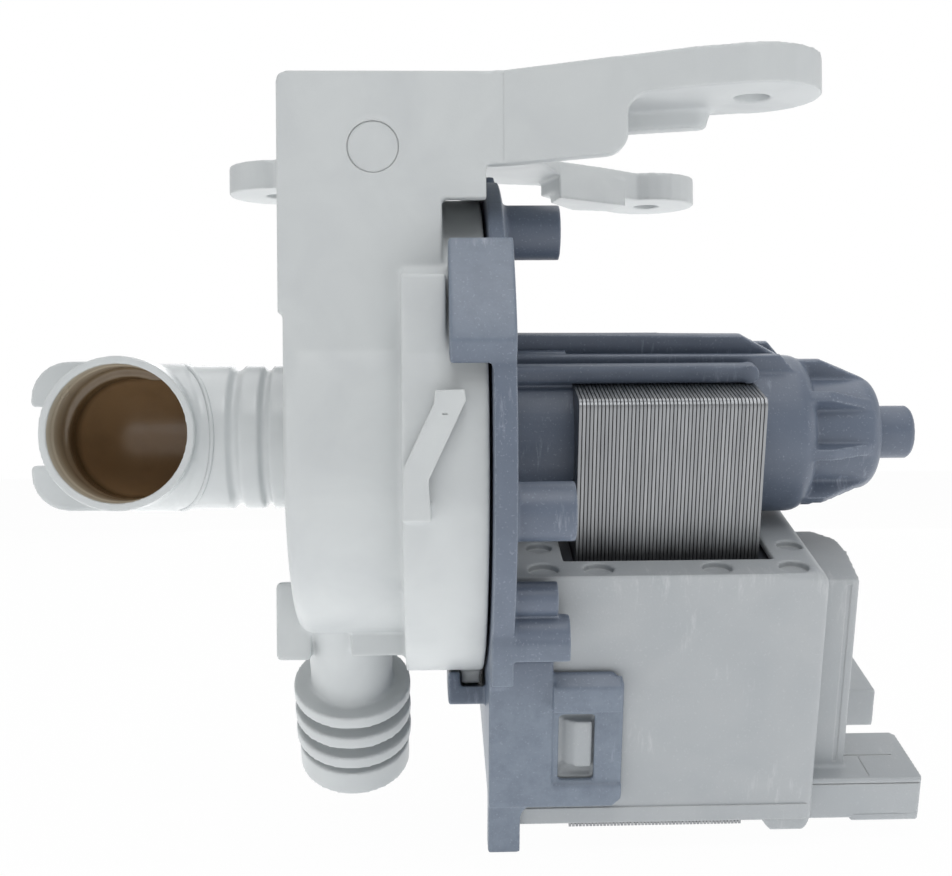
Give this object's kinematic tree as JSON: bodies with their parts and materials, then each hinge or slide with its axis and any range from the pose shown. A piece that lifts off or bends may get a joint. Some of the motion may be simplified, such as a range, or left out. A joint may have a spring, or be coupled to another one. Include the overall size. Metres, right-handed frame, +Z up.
{
  "type": "circulation pump",
  "caption": "Washing machine circulation pump: moulded volute on feet with elbow inlet and barbed outlet, bayonet-locked wet-rotor synchronous motor, coil cover and blade terminals.",
  "frame": {"origin": "on the feet's mounting plane, straight above the rotor axis, level with the joint between housing and motor", "axes": "+Z up, out of the mounting plane; +X along the rotor axis, from the inlet elbow to the motor's rear stub; +Y away from the inlet mouth"},
  "size_m": [0.1661, 0.1295, 0.1353],
  "materials": {
    "housing_plastic": "satin",
    "elbow_plastic": "satin",
    "casing_plastic": "satin",
    "cover_plastic": "satin",
    "bobbin_plastic": "matte",
    "impeller_plastic": "satin",
    "washer_plastic": "matte",
    "seal_rubber": "matte",
    "bearing_carbon": "matte",
    "magnet_ferrite": "matte",
    "shaft_steel": "ground",
    "core_steel": "stamped",
    "winding_copper": "enamelled",
    "terminal_metal": "tinned"
  },
  "bodies": {
    "pump": {"volute_housing": "housing_plastic", "inlet_elbow": "elbow_plastic", "elbow_seal": "seal_rubber", "motor_casing": "casing_plastic", "body_seal": "seal_rubber", "bearing_plate": "casing_plastic", "plate_seal": "seal_rubber", "front_bearing": "bearing_carbon", "front_bearing_mount": "seal_rubber", "rear_bearing": "bearing_carbon", "rear_bearing_mount": "seal_rubber", "stator_laminations": "core_steel", "front_bobbin": "bobbin_plastic", "rear_bobbin": "bobbin_plastic", "front_winding": "winding_copper", "rear_winding": "winding_copper", "coil_cover": "cover_plastic", "terminals": "terminal_metal", "thermal_cutout": "washer_plastic"},
    "rotor": {"rotor_shaft": "shaft_steel", "rotor_carrier": "impeller_plastic", "rotor_magnet": "magnet_ferrite", "thrust_washers": "washer_plastic", "drive_dog": "impeller_plastic"},
    "impeller_wheel": {"impeller": "impeller_plastic", "hub_cap": "impeller_plastic"},
    "pawl": {"locking_pawl": "housing_plastic"}
  },
  "joints": [
    {"name": "rotor_spin", "type": "hinge", "parent": "pump", "child": "rotor", "pos_m": [0, 0, -0.06], "axis": [1, 0, 0], "continuous": true},
    {"name": "impeller_free_play", "type": "hinge", "parent": "rotor", "child": "impeller_wheel", "pos_m": [0, 0, -0.06], "axis": [1, 0, 0], "range_deg": [-74, 74]},
    {"name": "pawl_flex", "type": "hinge", "parent": "pump", "child": "pawl", "pos_m": [-0.011, -0.0441, -0.0734], "axis": [1, 0, 0], "range_deg": [0, 12], "stiffness_Nm_per_rad": 0.05}
  ]
}
